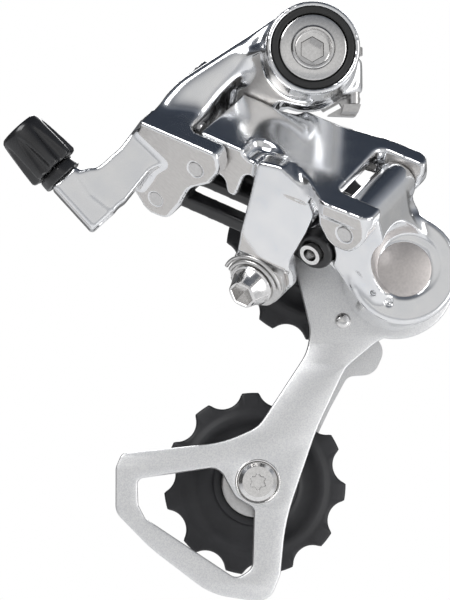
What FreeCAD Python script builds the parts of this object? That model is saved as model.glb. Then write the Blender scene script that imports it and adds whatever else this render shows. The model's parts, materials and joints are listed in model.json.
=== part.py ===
"""Rear bicycle derailleur, short cage, eleven-tooth pulleys.

Frame in millimetres: the origin is on the hanger bolt's axis at the face of the frame's hanger,
+X points to the front of the bicycle, +Y points inboard, to the spokes, and +Z points up.
The parallelogram's own frame has u along the outer link, v down and inboard, and w along the
pivot pins, with its zero at the outboard end of the outer link's rear pin.
"""
import FreeCAD, Part
import math
import os

Vector = FreeCAD.Vector

# ---- hanger joint, on the Y axis ------------------------------------------------------------
THREAD_R = 5.0            # M10 x 1
THREAD_LENGTH = 9.0
SHANK_R = 5.6
RUNNING = 0.05            # radial clearance of a running fit
GAP = 0.3                 # smallest gap between pieces that move past each other
BOSS_R = 10.9
BOSS_FRONT = -22.0
BOSS_BACK = -2.3
BOLT_HEAD_R = 7.9
BOLT_HEAD_THICK = 3.2
SEAL_R = 9.5
STOP_PLATE_THICK = 2.0
HANGER_CLEAR_R = 14.5     # room for the frame's hanger behind the knuckle
ANGLE_SCREW_X = 11.2
ANGLE_SCREW_Y = -4.5
ANGLE_SCREW_R = 1.25

# ---- parallelogram --------------------------------------------------------------------------
PIN_YAW = 37.0            # the pins run inboard by this angle
PIN_RISE = 46.5           # and upward by this one, in the side view
LINK_DROP = 31.1          # the links' turn about the pins, from level
LINK_ZERO = Vector(-26.8, -16.0, -27.7)
LINK_LENGTH = 39.4
SIDE_U = -9.55            # from an outer-link pin to the inner-link pin beside it
SIDE_V = 13.1
PIN_R = 1.75
LOWER_LUG = 4.8           # thickness of the near lugs
FORK_TOP = 25.2           # where the far lugs begin
UPPER_LUG = 31.0
WEB_FRONT = -6.5          # outer face of the outer link, in v
WEB_THICK = 3.3
FLANGE_FRONT = -4.6         # the flange under the web stands back from its face
BARREL_R = 4.4
INNER_BARREL_R = 4.7
P_BARREL_R = 4.9
FLANGE_TOP = 9.4            # top of the near plate of the inner link
FAR_PLATE_LOW = 20.6        # bottom of its far plate
NEAR_BAR_V = (13.3, 16.9)   # slim bar on the near side of the inner link
NEAR_BAR_W = (5.4, 9.2)
WEB_LOW = 16.0              # the inner link's web starts here, so that it is open below
INNER_PIN_R = 2.55          # hollow pin at the inner link's front end
PULLEY_CHAMFER = 26.2       # height of the plane that keeps the inner link off the guide pulley
LIMIT_SCREWS = (("high_limit_screw", 1.5, 19.0), ("low_limit_screw", -3.0, 11.0))
LIMIT_SCREW_R = 1.5

# ---- cable clamp ----------------------------------------------------------------------------
CLAMP_U = 18.2
CLAMP_V = 25.0
CLAMP_HEAD = 5.0

# ---- barrel adjuster: its axis lies in the plane y = ADJUST_Y -------------------------------
ADJUST_Y = -8.0
ADJUST_TIP = Vector(-47.5, ADJUST_Y, -38.9)
ADJUST_ANGLE = -47.5      # direction of the cable, from +X, in the side view
SLEEVE_LENGTH = 13.8
COLLAR_LENGTH = 3.0
KNOB_LENGTH = 12.6
HOUSING_R = 3.05          # socket for the cable housing's end cap
HOUSING_DEPTH = 8.0
CABLE_HOLE_R = 0.9

# ---- cage pivot, parallel to Y --------------------------------------------------------------
PIVOT_X = 21.4
PIVOT_Z = -50.1
DRUM_R = 12.8
DRUM_FRONT = -15.0
DRUM_BACK = 2.6
AXLE_R = 4.0
CAP_R = 6.6
STOP_X = 9.1              # rivet that stops the cage's turn
STOP_Z = -60.5

# ---- cage and pulleys -----------------------------------------------------------------------
PLATE_THICK = 2.3
PLATE_UPPER_Y = 3.0
PLATE_JOG = 2.0           # the lower half of the outer plate stands this much further out
JOG_TOP_Z = -66.0
JOG_BOTTOM_Z = -77.0
INNER_PLATE_Y = 16.7
INNER_PLATE_THICK = 1.5
PULLEY_Y = 11.0
GUIDE = Vector(3.6, PULLEY_Y, -42.8)
TENSION = Vector(-11.2, PULLEY_Y, -98.5)
TEETH = 11
TIP_R = 21.5
ROOT_R = 18.85
VALLEY_R = 4.7
TOOTH_THICK = 2.4
HUB_THICK = 5.6
BUSHING_R = 4.9
BUSHING_LENGTH = 7.2
PULLEY_BOLT_R = 2.45

NODES = {}


# ---- helpers --------------------------------------------------------------------------------
def corner_edges(points):
    """Edges of a closed outline; a point (x, y, r) has its corner rounded to radius r."""
    count = len(points)
    starts = []
    ends = []
    arcs = []
    for i, point in enumerate(points):
        here = Vector(point[0], point[1], 0)
        radius = point[2] if len(point) > 2 else 0.0
        before = Vector(points[i - 1][0], points[i - 1][1], 0) - here
        after = Vector(points[(i + 1) % count][0], points[(i + 1) % count][1], 0) - here
        before.normalize()
        after.normalize()
        half = before.getAngle(after) / 2
        if radius == 0.0:
            starts.append(here)
            ends.append(here)
            arcs.append(None)
            continue
        reach = radius / math.tan(half)
        bisector = (before + after).normalize()
        middle = here + bisector * (radius / math.sin(half) - radius)
        starts.append(here + before * reach)
        ends.append(here + after * reach)
        arcs.append(Part.Arc(starts[-1], middle, ends[-1]).toShape())
    edges = []
    for i in range(count):
        if arcs[i] is not None:
            edges.append(arcs[i])
        run_end = starts[(i + 1) % count]
        if (run_end - ends[i]).Length > 1e-6:
            edges.append(Part.LineSegment(ends[i], run_end).toShape())
    return edges


def prism(points, low, high):
    """Outline in local x, y, extruded along local z from low to high."""
    wire = Part.Wire(corner_edges(points))
    solid = Part.Face(wire).extrude(Vector(0, 0, high - low))
    solid.translate(Vector(0, 0, low))
    return solid


def side_prism(points, low, high):
    """Outline given as x, z, extruded along +Y from low to high."""
    solid = prism([(p[0], -p[1]) + tuple(p[2:]) for p in points], low, high)
    solid.rotate(Vector(0, 0, 0), Vector(1, 0, 0), -90)
    return solid


def front_prism(points, low, high):
    """Outline given as u, w in the parallelogram's frame, extruded along v."""
    return side_prism(points, low, high)


def rod(x, y, radius, low, high):
    """Cylinder along local z."""
    return Part.makeCylinder(radius, high - low, Vector(x, y, low))


def tube(x, y, outer, inner, low, high):
    return rod(x, y, outer, low, high).cut(rod(x, y, inner, low - 1, high + 1))


def y_rod(x, z, radius, low, high):
    """Cylinder along +Y."""
    return Part.makeCylinder(radius, high - low, Vector(x, low, z), Vector(0, 1, 0))


def y_tube(x, z, outer, inner, low, high):
    return y_rod(x, z, outer, low, high).cut(y_rod(x, z, inner, low - 1, high + 1))


def hex_prism(across, low, high):
    radius = across / math.sqrt(3)
    corners = [(radius * math.cos(math.radians(60 * k)), radius * math.sin(math.radians(60 * k)))
               for k in range(6)]
    return prism(corners, low, high)


def lug(x, y, radius, to_x, to_y, to_radius, low, high):
    """Plate with two round ends and tangent sides."""
    along = math.atan2(to_y - y, to_x - x)
    spread = math.acos((radius - to_radius) / math.hypot(to_x - x, to_y - y))
    corners = []
    for cx, cy, r, signs in ((x, y, radius, (1, -1)), (to_x, to_y, to_radius, (-1, 1))):
        for sign in signs:
            angle = along + sign * spread
            corners.append((cx + r * math.cos(angle), cy + r * math.sin(angle)))
    body = prism(corners, low, high)
    return body.fuse([rod(x, y, radius, low, high), rod(to_x, to_y, to_radius, low, high)])


def link_placement():
    """Takes the parallelogram's frame to the part's frame."""
    yaw = math.radians(PIN_YAW)
    rise = math.radians(PIN_RISE)
    pin = Vector(math.cos(yaw) * math.cos(rise), math.sin(yaw), math.cos(yaw) * math.sin(rise))
    level = Vector(pin.y, -pin.x, 0).normalize()
    along = FreeCAD.Rotation(pin, LINK_DROP).multVec(level)
    across = pin.cross(along)
    matrix = FreeCAD.Matrix(along.x, across.x, pin.x, LINK_ZERO.x,
                            along.y, across.y, pin.y, LINK_ZERO.y,
                            along.z, across.z, pin.z, LINK_ZERO.z,
                            0, 0, 0, 1)
    return FreeCAD.Placement(matrix)


def adjuster_placement():
    """Local +z runs out of the adjuster, away from the clamp; zero is the sleeve's tip."""
    angle = math.radians(ADJUST_ANGLE)
    outward = Vector(-math.cos(angle), 0, -math.sin(angle))
    return FreeCAD.Placement(ADJUST_TIP, FreeCAD.Rotation(Vector(0, 0, 1), outward))


LINK = link_placement()
ADJUST = adjuster_placement()


def moved(shape, placement):
    """Copy of a shape, carried rigidly by a placement."""
    copy = shape.copy()
    copy.Placement = placement.multiply(copy.Placement)
    return copy


def keep(name, shape):
    """Store a node after merging split faces and checking that it is sound."""
    clean = shape.removeSplitter()
    solids = clean.Solids
    if not solids:
        raise ValueError(name + " has no solid")
    result = solids[0] if len(solids) == 1 else Part.makeCompound(solids)
    if not result.isValid():
        raise ValueError(name + " is not valid")
    NODES[name] = result


def helix_wire(radius, pitch, turns, wire_r):
    """Closed coil of round wire along local z."""
    path = Part.makeHelix(pitch, pitch * turns, radius)
    start = Part.Circle(Vector(radius, 0, 0), Vector(0, 1, pitch / (2 * math.pi * radius)), wire_r)
    profile = Part.Wire(start.toShape())
    return Part.Wire(path.Edges).makePipeShell([profile], True, True)


# ---- hanger joint ---------------------------------------------------------------------------
def hanger_bolt():
    head_back = BOSS_FRONT + BOLT_HEAD_THICK
    head = y_rod(0, 0, BOLT_HEAD_R, BOSS_FRONT - 0.2, head_back)
    shank = y_rod(0, 0, SHANK_R, head_back, 0)
    thread = y_rod(0, 0, THREAD_R, 0, THREAD_LENGTH)
    mouth = y_rod(0, 0, 4.0, BOSS_FRONT - 1, BOSS_FRONT + 2.6)
    socket = hex_prism(5.0, 0, 6.0)
    socket.rotate(Vector(0, 0, 0), Vector(1, 0, 0), -90)
    socket.translate(Vector(0, BOSS_FRONT + 2.0, 0))
    groove = y_tube(0, 0, SHANK_R + 1, SHANK_R - 0.6, -3.6, -2.8)
    bolt = head.fuse([shank, thread]).cut([mouth, socket, groove])
    keep("hanger_bolt", bolt)


def stop_plate():
    """Turns with the hanger; its claw takes the tip of the body-angle screw."""
    disc = y_rod(0, 0, 11.4, -STOP_PLATE_THICK, 0)
    leaf = side_prism([(2.0, -9.0), (9.4, -4.0), (13.0, -8.3, 0.8), (12.0, -12.6, 1.0),
                       (5.2, -12.4, 1.0)], -STOP_PLATE_THICK, 0)
    claw = side_prism([(8.2, -12.2), (12.0, -12.2), (12.6, -10.4), (8.6, -10.4)], -6.4, -1.0)
    slot = side_prism([(3.9, -11.6), (8.0, -9.3), (8.6, -10.4), (4.5, -12.7)], -3, 1)
    keep("stop_plate", disc.fuse([leaf, claw]).cut([slot, y_rod(0, 0, SHANK_R, -3, 1)]))


def retaining_ring():
    ring = y_tube(0, 0, 7.4, SHANK_R - 0.6, -3.6, -2.8)
    mouth = side_prism([(-1.6, 0), (1.6, 0), (2.4, 9), (-2.4, 9)], -4, -2)
    keep("bolt_retaining_ring", ring.cut(mouth))


def body_seal():
    keep("hanger_seal", y_tube(0, 0, SEAL_R, BOLT_HEAD_R + GAP, BOSS_FRONT - 0.1, BOSS_FRONT + 2.0))


def hanger_bushing():
    keep("hanger_bushing", y_tube(0, 0, 6.9, SHANK_R + RUNNING, -18.4, -9.0))


def hanger_spring():
    coil = helix_wire(7.9, 1.62, 4, 0.62)
    coil.rotate(Vector(0, 0, 0), Vector(1, 0, 0), -90)
    coil.translate(Vector(0, -11.9, 0))
    keep("hanger_spring", coil)


# ---- mounting knuckle -----------------------------------------------------------------------
def knuckle_arm():
    """Arm from the fork up to the boss, and its polished outer side."""
    outline = [(-36.5, -17.5), (-34.7, -10.7, 8), (-30.0, -5.5, 14), (-14.9, 4.6, 30), (-7.9, 9.0),
               (6.0, 0.0), (0.0, -9.5), (-9.0, -5.5), (-13.3, -2.2, 1.0), (-20.1, -8.8),
               (-27.3, -17.6)]
    return side_prism(outline, -10.8, -3.4)


def knuckle_fork():
    """Two lugs joined by a spine; the links turn in the gap."""
    spine = front_prism([(-15.6, 0), (-17.0, 16, 20), (-17.0, UPPER_LUG), (-6.2, UPPER_LUG),
                         (-4.9, 4.8), (-4.9, 0)], WEB_FRONT, 7.4)
    near = prism([(-15.8, -6.5), (5.0, -6.5, 1.5), (6.2, -1.8, 4.5), (4.0, 2.5, 2),
                  (-1.0, 6.0, 5), (-3.4, 12.6, 3), (-6.0, 17.6, 3.5), (-11.5, 18.0, 4),
                  (-16.5, 12.5, 3)], 0, LOWER_LUG)
    far = prism([(-17.0, -4.5), (-9.0, -13.5), (0.0, -19.5, 2), (13.5, -14.0, 3), (16.0, -9.5, 2),
                 (6.9, -7.6, 2), (5.6, 0.5, 4), (0.0, 5.8, 4), (-3.6, 12.0, 4),
                 (-6.0, 18.2, 4), (-14.5, 17.0, 4)], FORK_TOP, UPPER_LUG)
    return moved(spine.fuse([near, far]), LINK)


def adjuster_arm():
    """Short arm that ends in the threaded sleeve for the barrel adjuster."""
    arm = side_prism([(-53.6, -28.4), (-51.6, -26.9), (-48.9, -26.6, 2), (-43.8, -22.0, 6),
                      (-39.0, -15.4), (-31.0, -16.0), (-31.5, -25.0), (-36.9, -27.1, 4),
                      (-42.6, -34.4, 2), (-45.8, -36.6), (-50.5, -33.0)], -11.9, -4.3)
    half = 3.7
    sleeve = prism([(-half, -half, 1.2), (half, -half, 1.2), (half, half, 1.2), (-half, half, 1.2)],
                   0, SLEEVE_LENGTH)
    return arm.fuse(moved(sleeve, ADJUST))


def fork_gap():
    """Room for both links over their whole turn."""
    gap = prism([(-4.9, WEB_FRONT - 1.0), (60, WEB_FRONT - 1.0), (60, 60), (-40, 60), (-40, 7.4),
                 (-9.6, 7.4), (-4.9, 4.2)], LOWER_LUG, FORK_TOP)
    return moved(gap, LINK)


def limit_screw_holes():
    holes = []
    for _, v, w in LIMIT_SCREWS:
        hole = Part.makeCylinder(LIMIT_SCREW_R, 14, Vector(-18, v, w), Vector(1, 0, 0))
        sink = Part.makeCylinder(2.7, 5.2, Vector(-19, v, w), Vector(1, 0, 0))
        holes.append(moved(hole.fuse(sink), LINK))
    return holes


def b_knuckle():
    boss = y_rod(0, 0, BOSS_R, BOSS_FRONT, BOSS_BACK)
    lip = y_rod(0, 0, 11.9, -5.6, BOSS_BACK)
    screw_lug = side_prism([(7.0, -2.0), (10.6, 0.9, 1.5), (13.0, 0.9, 1.5), (13.2, -7.2, 1.0),
                            (9.2, -8.4, 1.0), (6.0, -8.0)], -6.6, BOSS_BACK)
    body = boss.fuse([lip, screw_lug, knuckle_arm(), knuckle_fork(), adjuster_arm()])
    chamber = y_rod(0, 0, 9.0, -14.4, 0)
    bush_hole = y_rod(0, 0, 6.9, -20, 0)
    counterbore = y_rod(0, 0, SEAL_R, BOSS_FRONT - 1, -18.4)
    hanger_room = y_rod(0, 0, HANGER_CLEAR_R, BOSS_BACK, 45)
    pins = rod(0, 0, PIN_R, -1, UPPER_LUG + 1)
    pins = pins.fuse(rod(SIDE_U, SIDE_V, PIN_R, -1, UPPER_LUG + 1))
    sleeve_hole = moved(rod(0, 0, 2.5, -1, SLEEVE_LENGTH + 1), ADJUST)
    screw_hole = Part.makeCylinder(ANGLE_SCREW_R, 12, Vector(ANGLE_SCREW_X, ANGLE_SCREW_Y, -9))
    head_room = Part.makeCylinder(2.3, 5, Vector(ANGLE_SCREW_X, ANGLE_SCREW_Y, 1.3))
    cuts = [chamber, bush_hole, counterbore, hanger_room, fork_gap(), moved(pins, LINK),
            sleeve_hole, screw_hole, head_room] + limit_screw_holes()
    keep("b_knuckle", body.cut(cuts))


def angle_screw():
    shank = Part.makeCylinder(ANGLE_SCREW_R, 11.6, Vector(ANGLE_SCREW_X, ANGLE_SCREW_Y, -10.1))
    head = Part.makeCylinder(2.0, 1.8, Vector(ANGLE_SCREW_X, ANGLE_SCREW_Y, 1.5))
    slot = Part.makeBox(0.6, 5, 0.9, Vector(ANGLE_SCREW_X - 0.3, ANGLE_SCREW_Y - 2.5, 2.5))
    keep("body_angle_screw", shank.fuse(head).cut(slot))


def limit_screws():
    for name, v, w in LIMIT_SCREWS:
        shank = Part.makeCylinder(LIMIT_SCREW_R, 9.0, Vector(-13.8, v, w), Vector(1, 0, 0))
        head = Part.makeCylinder(2.4, 2.2, Vector(-16.0, v, w), Vector(1, 0, 0))
        slot = Part.makeBox(1.0, 6, 0.7, Vector(-16.2, v - 3, w - 0.35))
        keep(name, moved(shank.fuse(head).cut(slot), LINK))


def knuckle_pins():
    keep("outer_link_rear_pin", moved(rod(0, 0, PIN_R, 0, UPPER_LUG), LINK))
    keep("inner_link_rear_pin", moved(rod(SIDE_U, SIDE_V, PIN_R, 0, UPPER_LUG), LINK))


# ---- barrel adjuster ------------------------------------------------------------------------
def adjuster():
    seat = SLEEVE_LENGTH
    knob_low = seat + COLLAR_LENGTH
    knob_high = knob_low + KNOB_LENGTH
    stem = rod(0, 0, 2.44, 1.0, knob_low + 0.4)
    socket_wall = rod(0, 0, 4.0, knob_low + 0.4, knob_high - 0.4)
    bore = rod(0, 0, HOUSING_R, knob_high - 0.4 - HOUSING_DEPTH, knob_high)
    barrel = stem.fuse(socket_wall).cut([bore, rod(0, 0, CABLE_HOLE_R, 0, knob_high)])
    keep("adjuster_barrel", moved(barrel, ADJUST))

    knob = Part.makeCone(6.4, 5.2, KNOB_LENGTH, Vector(0, 0, knob_low))
    flutes = []
    for k in range(8):
        angle = math.radians(45 * k)
        flutes.append(rod(7.6 * math.cos(angle), 7.6 * math.sin(angle), 2.0, knob_low + 2.2,
                          knob_high + 1))
    inside = rod(0, 0, 4.0, knob_low + 0.4, knob_high + 1)
    throat = rod(0, 0, 3.6, knob_low - 1, knob_low + 1)
    keep("adjuster_knob", moved(knob.cut(flutes + [inside, throat]), ADJUST))

    collar = tube(0, 0, 4.9, 3.6, seat, knob_low - GAP)
    keep("adjuster_collar", moved(collar, ADJUST))
    coil = helix_wire(3.0, 0.85, 3, 0.3)
    coil.translate(Vector(0, 0, seat + 0.35))
    keep("adjuster_spring", moved(coil, ADJUST))


# ---- parallelogram --------------------------------------------------------------------------
def outer_link():
    web_back = WEB_FRONT + WEB_THICK
    c_near = 6.0
    c_far = 26.2
    top = 30.6
    web = front_prism([(-2.5, LOWER_LUG + 0.4), (-0.8, 4.9 + GAP), (5.2, 9.8, 8), (12.4, 12.6, 12),
                       (22.0, 8.2, 18), (33.5, -0.6), (45.0, 0.0, 2.5), (45.0, c_near), (33.6, c_near),
                       (33.4, c_far), (45.0, c_far), (45.0, top - 0.8, 3), (34.0, top, 12),
                       (22.0, 28.4, 30), (8.0, 24.9), (-2.5, 24.9)], WEB_FRONT, web_back)
    barrel = rod(0, 0, BARREL_R, LOWER_LUG + 0.4, FORK_TOP - 0.4)
    heel = prism([(-3.2, -3.0), (-1.0, WEB_FRONT, 1.5), (9, WEB_FRONT), (9, -2.6), (4.0, 1.6)],
                 LOWER_LUG + 0.4, FORK_TOP - 0.4)
    flange = prism([(0.5, -4.0), (4.4, 1.0, 3), (5.9, 7.0, 1.5), (8.4, 7.6, 1.2), (10.0, 0.8, 2.4),
                    (13.8, -3.0), (24.0, -3.0), (24.0, FLANGE_FRONT), (2.6, FLANGE_FRONT)],
                   LOWER_LUG + 0.4, 7.7)
    step = prism([(3.6, FLANGE_FRONT), (23.0, FLANGE_FRONT), (23.0, -2.4), (3.6, -2.4)], 7.0, 12.4)
    roof = prism([(12.0, WEB_FRONT), (34.0, WEB_FRONT), (34.0, 3.2, 3), (27.0, 0.0, 8),
                  (12.0, -2.4)], c_far - 0.6, 28.4)
    lugs = []
    for low, high in ((0.0, c_near), (c_far, top)):
        lugs.append(prism([(32.0, WEB_FRONT), (43.6, WEB_FRONT, 2.5), (44.8, -0.5, 5),
                           (41.5, 5.0, 4.4), (36.0, 4.6, 4.4), (32.5, 0.0, 3)], low, high))
    body = web.fuse([barrel, heel, flange, step, roof, cable_arm()] + lugs)
    bores = rod(0, 0, PIN_R + RUNNING, 0, FORK_TOP).fuse(rod(LINK_LENGTH, 0, PIN_R, -1, 32))
    clamp_hole = rod(CLAMP_U, CLAMP_V, 2.5, -1, 6)
    keep("outer_link", moved(body.cut([bores, clamp_hole]), LINK))


def cable_arm():
    """Wedge under the outer link that carries the cable clamp."""
    plan = prism([(13.6, -5.9, 0.8), (19.3, -7.0, 4), (24.2, -5.2, 4), (29.6, 1.0, 3),
                  (28.6, 6.5, 3), (26.0, 15.2, 2), (27.6, 22.0, 3), (22.5, 31.2, 5), (13.5, 31.2, 5), (11.2, 22.0, 4),
                  (13.0, 16.5, 2)], -1, 12)
    side = [(-7.5, 4.6), (11.5, 0.2, 3), (17.4, 0.0, 1), (18.4, 1.7), (32, 1.7), (32, 4.6),
            (6.5, 4.6), (2.0, 8.5), (-7.5, 8.5)]
    wedge = prism(side, 0, 45)
    wedge.rotate(Vector(0, 0, 0), Vector(1, 1, 1), 120)
    return plan.common(wedge)


def cable_clamp():
    plate = prism([(12.6, 18.9, 1.2), (25.4, 18.9, 2), (26.4, 24.0, 5), (22.6, 30.0, 4),
                   (13.6, 30.0, 4), (11.8, 24.0, 3)], 0.0, 1.7)
    plate = plate.cut([rod(CLAMP_U, CLAMP_V, 2.7, -1, 3),
                       Part.makeCylinder(0.75, 30, Vector(0, CLAMP_V - 4.2, 1.9), Vector(1, 0, 0))])
    keep("cable_clamp_plate", moved(plate, LINK))

    head = Part.makeCone(3.5, 5.0, CLAMP_HEAD, Vector(CLAMP_U, CLAMP_V, -CLAMP_HEAD))
    flutes = []
    for k in range(8):
        angle = math.radians(45 * k + 10)
        foot = Vector(CLAMP_U + 6.0 * math.cos(angle), CLAMP_V + 6.0 * math.sin(angle), -1.0)
        slope = Vector(-0.3 * math.cos(angle), -0.3 * math.sin(angle), -1)
        flutes.append(Part.makeCylinder(1.5, 8, foot, slope))
    socket = hex_prism(5.0, -CLAMP_HEAD - 1, -1.6)
    socket.translate(Vector(CLAMP_U, CLAMP_V, 0))
    shank = rod(CLAMP_U, CLAMP_V, 2.5, 0, 5.8)
    keep("cable_clamp_bolt", moved(head.cut(flutes + [socket]).fuse(shank), LINK))


def inner_link():
    end_u = SIDE_U + LINK_LENGTH
    low = LOWER_LUG + 0.4
    high = FORK_TOP - 0.4
    radius = INNER_BARREL_R
    bosses = [rod(SIDE_U, SIDE_V, radius, low, high), rod(end_u, SIDE_V, radius, low, FLANGE_TOP)]
    bar = prism([(SIDE_U, NEAR_BAR_V[0]), (end_u, NEAR_BAR_V[0]), (end_u, NEAR_BAR_V[1]),
                 (SIDE_U, NEAR_BAR_V[1])], *NEAR_BAR_W)
    far = lug(SIDE_U, SIDE_V, radius, end_u, SIDE_V, radius, FAR_PLATE_LOW, high)
    web_low = SIDE_V + radius - 3.4
    web_high = SIDE_V + radius
    web = prism([(SIDE_U, web_low), (22.5, web_low, 1.5), (24.5, web_high), (SIDE_U, web_high)],
                WEB_LOW, high)
    front_web = prism([(17.0, web_low), (22.5, web_low, 1.5), (24.5, web_high), (17.0, web_high)],
                      NEAR_BAR_W[0] + 1.2, WEB_LOW)
    body = bar.fuse(bosses + [far, web, front_web])
    bores = rod(SIDE_U, SIDE_V, PIN_R + RUNNING, 0, 30).fuse(rod(end_u, SIDE_V, INNER_PIN_R, 0, 30))
    keep("inner_link", moved(body.cut(bores).cut(pulley_chamfer()), LINK))


def pulley_chamfer():
    """Long block whose lower side is square to the inboard direction, seen along the link."""
    inboard = LINK.Rotation.inverted().multVec(Vector(0, 1, 0))
    inboard = Vector(0, inboard.y, inboard.z).normalize()
    turn = FreeCAD.Rotation(Vector(0, 0, 1), inboard)
    block = Part.makeBox(120, 60, 20, Vector(-60, -30, PULLEY_CHAMFER))
    return moved(block, FreeCAD.Placement(Vector(0, 0, 0), turn))


def front_pins():
    keep("outer_link_front_pin", moved(rod(LINK_LENGTH, 0, PIN_R, 0.0, 30.6), LINK))
    hollow = tube(SIDE_U + LINK_LENGTH, SIDE_V, INNER_PIN_R, 1.6, 3.9, FORK_TOP - 0.4)
    keep("inner_link_front_pin", moved(hollow, LINK))


def return_spring():
    """Extension spring on the diagonal that grows as the links swing inboard."""
    diagonal = Vector(SIDE_U + LINK_LENGTH, SIDE_V, 0)
    turn = FreeCAD.Rotation(Vector(0, 0, 1), diagonal)
    coil = helix_wire(2.5, 1.35, 12, 0.55)
    start = diagonal.normalize() * 7.4 + Vector(0, 0, 15.0)
    keep("return_spring", moved(coil, LINK.multiply(FreeCAD.Placement(start, turn))))


# ---- cage knuckle ---------------------------------------------------------------------------
def p_knuckle():
    c_low = 6.0 + GAP
    c_high = 26.2 - GAP
    slab = moved(rod(35, 10, 60, c_low, c_high), LINK)
    drum = y_rod(PIVOT_X, PIVOT_Z, DRUM_R, DRUM_FRONT, DRUM_BACK)
    c_barrel = moved(rod(LINK_LENGTH, 0, P_BARREL_R, c_low, c_high), LINK)
    neck = side_prism([(11.5, -37.0), (18.6, -31.4), (23.5, -31.0, 2), (25.4, -37.5, 6),
                       (32.6, -44.5), (30.0, -52.0), (12.0, -54.0), (9.0, -44.0)], -13.4, DRUM_BACK)
    neck = neck.common(slab)
    d_u = SIDE_U + LINK_LENGTH
    d_barrel = lug(d_u, SIDE_V, INNER_BARREL_R - 0.1, 41.0, SIDE_V + 2.0, 6.5, FLANGE_TOP + GAP,
                   FAR_PLATE_LOW - GAP)
    d_barrel = moved(d_barrel, LINK)
    shoulder = prism([(35.6, 1.0), (37.0, -4.0, 3), (43.6, -3.6, 4), (46.5, 4.0), (53.0, 12.0),
                      (42.0, 22.0), (33.0, 14.0)], c_low, FAR_PLATE_LOW - GAP)
    shoulder = moved(shoulder, LINK)
    body = drum.fuse([c_barrel, neck, d_barrel, shoulder])
    cuts = [
        side_prism([(-60, -120), (90, -120), (90, 20), (-60, 20)], DRUM_BACK, 40),
        side_prism([(-60, -120), (90, -120), (90, 20), (-60, 20)], -70, -32.0),
        moved(rod(LINK_LENGTH, 0, PIN_R + RUNNING, 0, 32), LINK),
        moved(rod(d_u, SIDE_V, INNER_PIN_R + 0.35, 0, 32), LINK),
        moved(rod(d_u, SIDE_V, INNER_BARREL_R + GAP, -3, FLANGE_TOP + GAP), LINK),
        moved(rod(d_u, SIDE_V, INNER_BARREL_R + GAP, FAR_PLATE_LOW - GAP, 40), LINK),
        y_rod(PIVOT_X, PIVOT_Z, 10.6, -12.4, DRUM_BACK + 1),
        y_rod(PIVOT_X, PIVOT_Z, 5.4, DRUM_FRONT - 1, 0),
        y_rod(PIVOT_X, PIVOT_Z, CAP_R + 0.4, DRUM_FRONT - 20, DRUM_FRONT + 0.8),
    ]
    keep("p_knuckle", body.cut(cuts))


def pivot_parts():
    keep("pivot_cap", y_rod(PIVOT_X, PIVOT_Z, CAP_R, DRUM_FRONT + 0.1, DRUM_FRONT + 0.8))
    keep("pivot_bushing", y_tube(PIVOT_X, PIVOT_Z, 5.4, AXLE_R + RUNNING, DRUM_FRONT + 1.2, -7.0))
    coil = helix_wire(8.7, 2.1, 4, 0.8)
    coil.rotate(Vector(0, 0, 0), Vector(1, 0, 0), -90)
    coil.translate(Vector(PIVOT_X, -10.6, PIVOT_Z))
    keep("cage_spring", coil)
    keep("pivot_seal", y_tube(PIVOT_X, PIVOT_Z, 10.6, 9.7, 1.2, 2.6))


# ---- cage -----------------------------------------------------------------------------------
def outer_plate():
    outline = [(-3.2, -46.0, 4), (-1.6, -50.0), (1.5, -62.6, 10), (0.6, -68.0, 12), (-11.0, -85.6, 8),
               (-19.2, -89.3, 30), (-42.9, -91.9, 1.6), (-44.3, -95.2, 3), (-44.3, -105.6, 4),
               (-36.0, -114.0, 40), (-22.0, -124.6, 16), (-8.6, -126.6, 6), (-5.9, -120.0, 4),
               (-4.7, -107.5, 60), (2.6, -86.2, 60), (9.6, -71.6, 8), (17.0, -65.4, 10),
               (33.0, -60.0), (35.9, -46.0), (24.0, -36.0), (11.0, -37.0), (4.0, -35.8, 5),
               (-2.6, -39.0, 4)]
    flat = side_prism(outline, -5, 12)
    drum_end = y_rod(PIVOT_X, PIVOT_Z, DRUM_R + 1.7, -5, 12)
    trim = side_prism([(9.0, -37.4), (40, -30), (40, -70), (16, -66)], -5, 12)
    flat = flat.cut(trim.cut(drum_end))
    upper = PLATE_UPPER_Y
    lower = upper - PLATE_JOG
    profile = [(lower, -140), (lower, JOG_BOTTOM_Z), (upper, JOG_TOP_Z), (upper, 0),
               (upper + PLATE_THICK, 0), (upper + PLATE_THICK, JOG_TOP_Z),
               (lower + PLATE_THICK, JOG_BOTTOM_Z), (lower + PLATE_THICK, -140)]
    bent = prism(profile, -60, 60)
    bent.rotate(Vector(0, 0, 0), Vector(1, 1, 1), 120)
    window = side_prism([(-39.3, -97.8, 1.6), (-20.2, -95.0, 3.4), (-16.4, -102.0, 3),
                         (-12.0, -104.6, 1.5), (-12.4, -118.6, 3), (-16.2, -121.0, 2.5),
                         (-37.4, -107.0, 2), (-39.0, -104.0, 2)], -5, 12)
    plate = flat.common(bent).cut(window)
    holes = [y_rod(GUIDE.x, GUIDE.z, PULLEY_BOLT_R, 0, 12),
             y_rod(TENSION.x, TENSION.z, PULLEY_BOLT_R, 0, 12),
             y_rod(TENSION.x, TENSION.z, 4.9, -2, lower + 1.4),
             y_rod(PIVOT_X, PIVOT_Z, AXLE_R, 0, 12),
             y_rod(STOP_X, STOP_Z, 1.5, 0, 12)]
    keep("cage_outer_plate", plate.cut(holes))


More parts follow.
